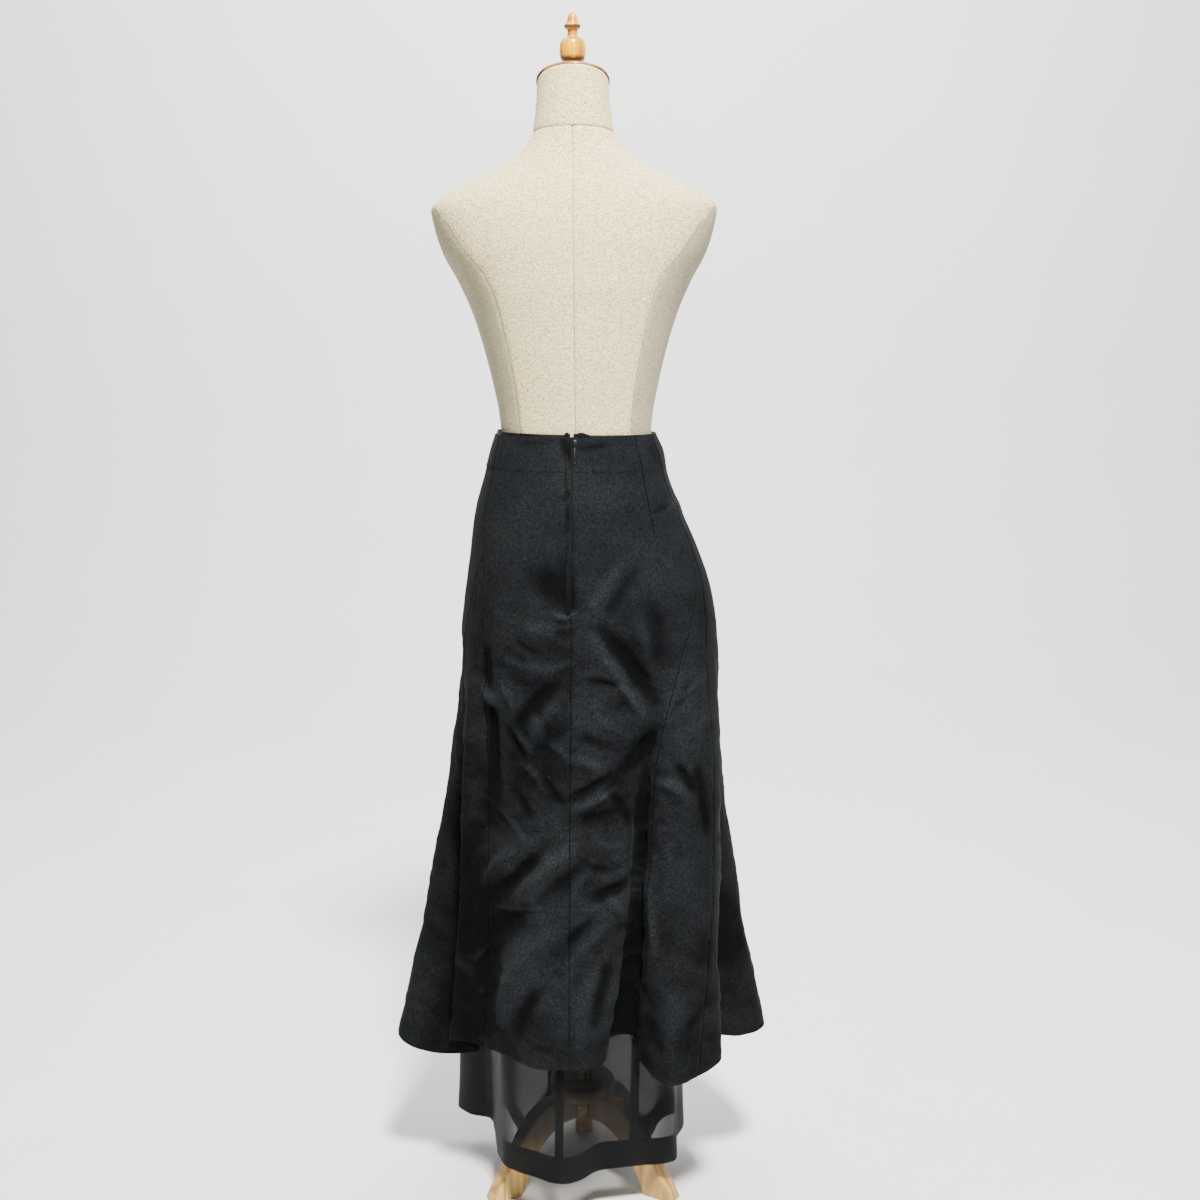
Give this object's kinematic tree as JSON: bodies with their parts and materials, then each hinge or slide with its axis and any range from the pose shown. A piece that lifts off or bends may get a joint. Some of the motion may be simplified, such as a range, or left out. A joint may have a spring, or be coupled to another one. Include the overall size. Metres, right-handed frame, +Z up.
{
  "type": "maxi skirt on a limbless dress form",
  "caption": "Long flared wool skirt with side godets, a lapped back zip and a sheer underskirt, worn by a linen dress form on a wooden tripod stand.",
  "frame": {"origin": "on the floor, under the stand's pole", "axes": "+Z up along the pole; the wearer faces -Y, so the zip is at the +Y side; the wearer's left is +X"},
  "size_m": [0.5332, 0.316, 1.6359],
  "materials": {
    "wool": "matt black twill",
    "facing": "smooth black lining cloth",
    "sheer": "sheer black chiffon",
    "zip_tape": "woven black tape",
    "zip_coil": "black coil",
    "zip_metal": "black lacquer",
    "linen": "natural slub linen",
    "wood": "light wood, satin",
    "dark_wood": "warm brown wood, satin"
  },
  "bodies": {
    "skirt_on_form": {"form_neck": "linen", "form_torso": "linen", "neck_cap": "dark_wood", "neck_finial": "dark_wood", "placket_lap": "wool", "sheer_back_left": "sheer", "sheer_back_right": "sheer", "sheer_front": "sheer", "sheer_hem": "sheer", "stand_hub": "dark_wood", "stand_leg_front": "wood", "stand_leg_left": "wood", "stand_leg_right": "wood", "stand_pole": "wood", "waist_facing": "facing", "wool_back_left": "wool", "wool_back_right": "wool", "wool_front": "wool", "wool_godet_left": "wool", "wool_godet_right": "wool", "zip_chain": "zip_coil", "zip_slider": "zip_metal", "zip_tape_left": "zip_tape", "zip_tape_right": "zip_tape"},
    "zip_pull_tab": {"zip_pull": "zip_metal"}
  },
  "joints": [
    {"name": "pull_tab_hinge", "type": "hinge", "parent": "skirt_on_form", "child": "zip_pull_tab", "pos_m": [0.00115, 0.08293, 1.0797], "axis": [1, 0, 0], "range_deg": [0, 80]}
  ]
}
